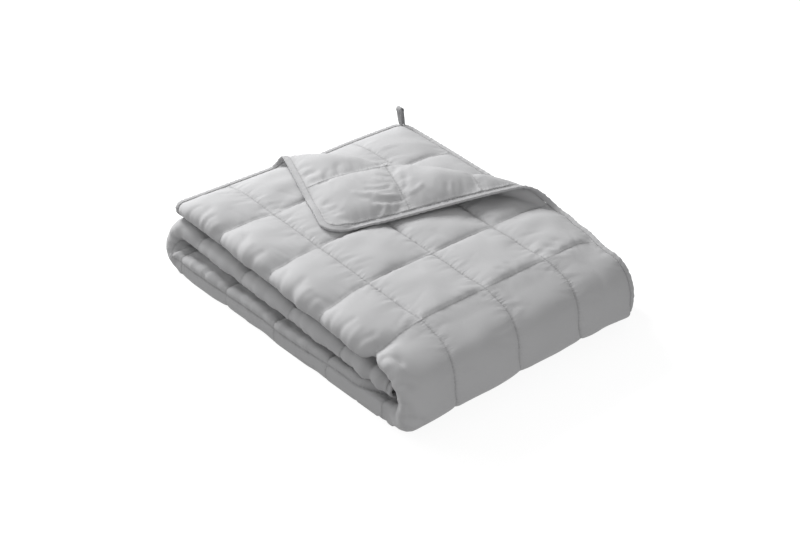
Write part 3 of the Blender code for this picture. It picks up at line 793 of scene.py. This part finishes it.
def stitches(name, ends, side, offset, material):
    # ends: for each stitch its middle and its direction on the flat cloth; side 0 is the outward face
    s, w, ds, dw = (np.asarray(v, float) for v in ends)
    half, high = threadLook["half"], threadLook["rise"]
    reach = 0.5 * threadLook["length"]
    spots = [(s - ds * reach, w - dw * reach), (s + ds * reach, w + dw * reach),
             (s + dw * half, w - ds * half), (s - dw * half, w + ds * half)]
    placed = [bothFaces(a, b, offset, offset)[side] for a, b in spots]
    tangent, across = placed[1] - placed[0], placed[2] - placed[3]
    normal = np.cross(across, tangent) * (1.0 if side == 0 else -1.0)
    normal /= np.maximum(np.linalg.norm(normal, axis=-1, keepdims=True), 1e-12)
    middle = 0.25 * (placed[0] + placed[1] + placed[2] + placed[3])
    points = np.stack(placed + [middle + high * normal, middle - high * normal], 1).reshape(-1, 3)
    corners = ((0, 2, 4), (2, 1, 4), (1, 3, 4), (3, 0, 4), (2, 0, 5), (1, 2, 5), (3, 1, 5), (0, 3, 5))
    faces = (6 * np.arange(len(s))[:, None, None] + np.array(corners)[None]).reshape(-1, 3).tolist()
    return newObject(name, points, faces, material)


def seamStitches():
    # every stitch of the grid of lines: where it lies and which way it runs
    pitch, inset = threadLook["pitch"], threadLook["inset"]
    places = []
    for line in columnSeams[1:-1]:
        t = np.arange(inset, long - inset, pitch)
        places.append(np.stack([t, np.full_like(t, line), np.ones_like(t), np.zeros_like(t)]))
    for line in rowSeams[1:-1]:
        t = np.arange(inset - halfWide, halfWide - inset, pitch)
        places.append(np.stack([np.full_like(t, line), t, np.zeros_like(t), np.ones_like(t)]))
    return np.concatenate(places, 1)


thread = threadMaterial()
lines = seamStitches()
for side, name, relief in ((0, "outer", outRelief), (1, "inner", backRelief)):
    offset = readRelief(relief, lines[0], lines[1])
    stitches(f"{name}_stitching", lines, side, offset, thread)
print("stitches:", 2 * lines.shape[1])

# The strip sewn over the edge. Its section goes out from the quilt's edge: shares of wide and of half.
bindingLook = dict(
    wide=0.0095, half=0.0023, clear=0.0003, spacing=0.0036,
    waves=(0.006, 0.016), waveDeep=0.00075, edgeWave=0.0008,
    section=((0.00, -0.55), (0.03, 0.80), (0.10, 1.08), (0.24, 0.86),
             (0.45, 1.10), (0.70, 1.05), (0.90, 0.80), (1.0, 0.30)),
    stitchAt=(0.24, 0.86), stitchPitch=0.0030,     # in the section's groove
    leastHalf=0.3,          # the other face keeps at least this share of half
    colour=(0.385, 0.385, 0.39), shade=(0.34, 0.34, 0.345),
)


def rimPlaces(spacing):
    # places round the open blanket's edge, in order, evenly spaced: s, w and the way along
    corners = ((0.0, -0.5), (1.0, -0.5), (1.0, 0.5), (0.0, 0.5))
    s, w, ds, dw = [], [], [], []
    for (a, b), (c, d) in zip(corners, corners[1:] + corners[:1]):
        size = abs(c - a) * long + abs(d - b) * wide
        t = np.arange(int(size / spacing)) / int(size / spacing)
        s.append((a + (c - a) * t) * long)
        w.append((b + (d - b) * t) * wide)
        ds.append(np.full_like(t, c - a))
        dw.append(np.full_like(t, d - b))
    return tuple(np.concatenate(v) for v in (s, w, ds, dw))


def ringNoise(count, lengths, spacing, waves=40):
    # smooth random values round a closed ring, about -1 to 1
    total, t = np.zeros(count), np.arange(count) * 2.0 * math.pi / count
    ring = count * spacing
    for _ in range(waves):
        total += np.cos(round(ring / dice.uniform(*lengths)) * t + dice.uniform(0.0, 2.0 * math.pi))
    return total / math.sqrt(2.0 * waves)


def makeBinding():
    look = bindingLook
    s, w, _, _ = rimPlaces(look["spacing"])
    count = len(s)
    edge = ringNoise(count, look["waves"], look["spacing"])
    rings = []
    for side in (0, 1):
        swell = ringNoise(count, look["waves"], look["spacing"])
        for out, up in (look["section"] if side == 0 else look["section"][::-1]):
            past = look["clear"] + look["wide"] * out + look["edgeWave"] * edge * out
            half = look["half"] * up + look["waveDeep"] * swell * np.clip(up, 0.0, 1.0)
            bs, bw = roundCorner(s, w, past)
            other = np.maximum(half, look["leastHalf"] * look["half"])
            rings.append(bothFaces(bs, bw, *((half, other) if side == 0 else (other, half)))[side])
    points = np.concatenate(rings)
    faces = []
    for k in range(len(rings)):
        a, b = k * count, ((k + 1) % len(rings)) * count
        here = np.arange(count)
        after = (here + 1) % count
        faces += np.stack([a + here, a + after, b + after, b + here], -1).tolist()
    material = clothMaterial("binding cloth", look["colour"], look["shade"], False)
    binding = newObject("edge_binding", points, faces, material)
    flat = np.tile(np.stack([s, w], -1), (len(rings), 1))
    storeCloth(binding, flat[:, 0], flat[:, 1])
    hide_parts("binding")
    return binding


binding = makeBinding()


def bindingStitches():
    look = bindingLook
    s, w, ds, dw = rimPlaces(look["stitchPitch"])
    bs, bw = roundCorner(s, w, look["clear"] + look["wide"] * look["stitchAt"][0])
    return np.stack([bs, bw, ds, dw])


edgeLines = bindingStitches()
edgeOffset = np.full(edgeLines.shape[1], bindingLook["half"] * bindingLook["stitchAt"][1])
edgeThreads = [stitches(f"edge_stitching_{name}", edgeLines, side, edgeOffset, thread)
               for side, name in ((0, "outer"), (1, "inner"))]
print("binding:", len(binding.data.vertices), "points")

# The loop of tape at the lower sheet's corner.
loopLook = dict(
    tall=0.033, wide=0.012, thick=0.0014, lean=0.20,
    seat=0.0033,            # how far above the middle of the binding it stands
    foot=0.0026, belly=0.0048, bellyFrom=-38.0, bellyCuts=31,   # half its width at the foot and at the top
    # one leg, from the foot up: how much wider it stands than at the foot, and how high
    leg=((0.0, 0.0), (0.0002, 0.003), (0.0006, 0.006), (0.0010, 0.012)),
    section=((-1.0, -0.35), (-0.94, -0.85), (-0.85, -1.0), (0.85, -1.0), (0.94, -0.85), (1.0, -0.35),
             (1.0, 0.35), (0.94, 0.85), (0.85, 1.0), (-0.85, 1.0), (-0.94, 0.85), (-1.0, 0.35)),
    colour=(0.26, 0.26, 0.265), light=(0.30, 0.30, 0.305), dark=(0.21, 0.21, 0.215),
    rib=1600.0, ribDeep=0.0003,
)


def tapeMaterial():
    # woven tape with ribs across it
    look = loopLook
    material, shader, nodes = newMaterial("loop tape", look["colour"], 0.8, 0.15)
    place = nodes.add("ShaderNodeTexCoord").outputs["Object"]
    ribs = nodes.noise(nodes.stretched(place, (0.2, 1.0, 1.0)), look["rib"], 1.0)
    nodes.feed(shader, "Base Color", nodes.mix(ribs, look["dark"], look["light"]))
    nodes.feed(shader, "Normal", nodes.bump(ribs, look["ribDeep"], 0.8))
    return material


def makeLoop():
    look = loopLook
    spotS, spotW = roundCorner(np.array([0.0]), np.array([-halfWide]), 0.5 * bindingLook["wide"])
    foot = np.array([float(v[0]) for v in fold(spotS, spotW, np.array([-look["seat"]]))])
    start, top = math.radians(look["bellyFrom"]), look["tall"] - look["belly"]
    arc = [(look["belly"] * math.cos(a), top + look["belly"] * math.sin(a))
           for a in np.linspace(start, math.pi - start, look["bellyCuts"])]
    leg = [(look["foot"] + out, high) for out, high in look["leg"]]
    path = np.array(leg + arc + [(-side, high) for side, high in reversed(leg)])
    way = np.gradient(path, axis=0)
    way /= np.linalg.norm(way, axis=1, keepdims=True)
    normal = np.stack([way[:, 1], -way[:, 0]], 1)
    points = []
    for (side, high), (ny, nz) in zip(path, normal):
        for across, thick in look["section"]:
            points.append((foot[0] + 0.5 * across * look["wide"] - look["lean"] * high,
                           foot[1] + side + 0.5 * thick * look["thick"] * ny,
                           foot[2] + max(high + 0.5 * thick * look["thick"] * nz, 0.0)))
    count = len(look["section"])
    last = count * (len(path) - 1)
    faces = [list(reversed(range(count))), [last + k for k in range(count)]]
    for k in range(len(path) - 1):
        for c in range(count):
            a, b = count * k + c, count * k + (c + 1) % count
            faces.append([a, b, b + count, a + count])
    loop = newObject("tape_loop", points, faces, tapeMaterial())
    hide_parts("corner_loop")
    return loop


loop = makeLoop()
print("loop of tape made")

# The room: a white floor, soft light from the left and above, and the camera.
room = dict(
    azimuth=51.14, elevation=33.84, distance=2.0, sensor=36.0, focal=1231.5 / 800.0 * 36.0,
    target=(0.0311, -0.0284, 0.07),
    # for each light its power, its size and where it stands
    lights=dict(key=(122.0, 1.2, (-2.40, 0.10, 1.70)), front=(27.0, 2.0, (-1.9, -1.5, 1.1)),
                side=(19.0, 2.0, (2.2, -0.7, 0.9))),
    lightsAt=(0.0, 0.0, 0.08), sky=0.42,
    floor=0.25, floorGlow=0.85,     # lit from within a little, so that it stays white in the blanket's shadow
    floorHalf=30, floorAt=-0.0004,  # half its side, and its height
)


def aimed(item, place, target):
    item.location = place
    item.rotation_euler = (Vector(target) - Vector(place)).to_track_quat("-Z", "Y").to_euler()
    bpy.context.scene.collection.objects.link(item)
    return item


def makeCamera():
    a, e = math.radians(room["azimuth"]), math.radians(room["elevation"])
    back = Vector((math.sin(a) * math.cos(e), -math.cos(a) * math.cos(e), math.sin(e)))
    data = bpy.data.cameras.new("camera")
    data.lens, data.sensor_width = room["focal"], room["sensor"]
    place = Vector(room["target"]) + room["distance"] * back
    camera = aimed(bpy.data.objects.new("camera", data), place, room["target"])
    bpy.context.scene.camera = camera


def makeLight(name, power, size, place):
    data = bpy.data.lights.new(name, "AREA")
    data.energy, data.size = power, size
    aimed(bpy.data.objects.new(name, data), place, room["lightsAt"])


def makeFloor():
    mesh = bpy.data.meshes.new("floor")
    h = room["floorHalf"]
    mesh.from_pydata([(-h, -h, 0), (h, -h, 0), (h, h, 0), (-h, h, 0)], [], [(0, 1, 2, 3)])
    material, shader, _ = newMaterial("white floor", (room["floor"],) * 3, 0.9)
    shader.inputs["Emission Color"].default_value = (1.0, 1.0, 1.0, 1.0)
    shader.inputs["Emission Strength"].default_value = room["floorGlow"]
    mesh.materials.append(material)
    floor = bpy.data.objects.new("floor", mesh)
    floor.location.z = room["floorAt"]
    floor.visible_diffuse = False      # its own glow doesn't light the cloth
    bpy.context.scene.collection.objects.link(floor)


def makeSky():
    world = bpy.data.worlds.new("studio")
    bpy.context.scene.world = world
    world.use_nodes = True
    background = world.node_tree.nodes["Background"]
    background.inputs["Color"].default_value = (1.0, 1.0, 1.0, 1.0)
    background.inputs["Strength"].default_value = room["sky"]


makeCamera()
for name, (power, size, place) in room["lights"].items():
    makeLight(name, power, size, place)
makeFloor()
makeSky()
bpy.context.scene.view_settings.view_transform = "Standard"
print("room made")
